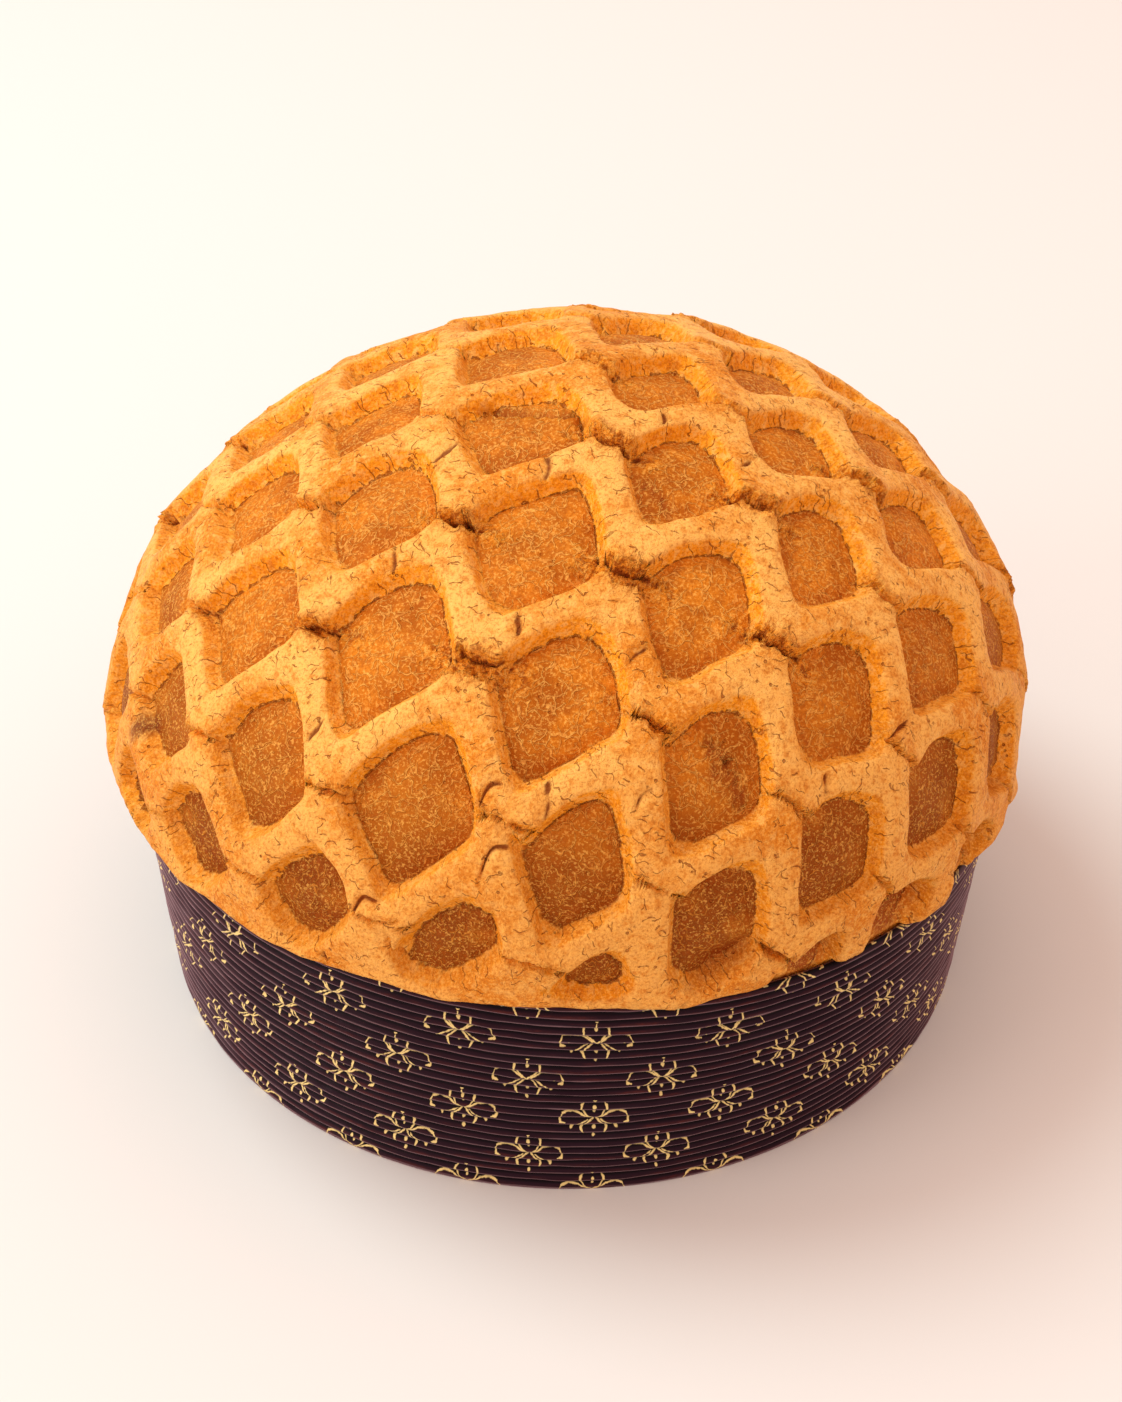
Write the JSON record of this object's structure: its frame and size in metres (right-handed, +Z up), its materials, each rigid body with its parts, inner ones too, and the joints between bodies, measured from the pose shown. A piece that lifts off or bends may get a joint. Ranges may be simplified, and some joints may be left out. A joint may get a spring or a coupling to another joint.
{
  "type": "panettone",
  "caption": "Low domed panettone with a baked-on lattice of dough strips over browner panels, standing in a dark fluted paper baking mould with a small gold sprig print.",
  "frame": {"origin": "the middle of the underside of the mould's base, on the surface that it stands on", "axes": "+Z up through the loaf; +X to the right and -Y towards the front, with the mould's glued lap at the back"},
  "size_m": [0.2277, 0.228, 0.1635],
  "materials": {
    "crust": "baked crust, golden orange on the raised strips and browner on the sunken panels",
    "printed_paper": "satin aubergine paper in fine level flutes, with pale gold printed sprigs",
    "base_paper": "matte dark paper board"
  },
  "bodies": {
    "root": {"loaf": "crust", "mould_wall": "printed_paper", "mould_base": "base_paper"}
  },
  "joints": []
}
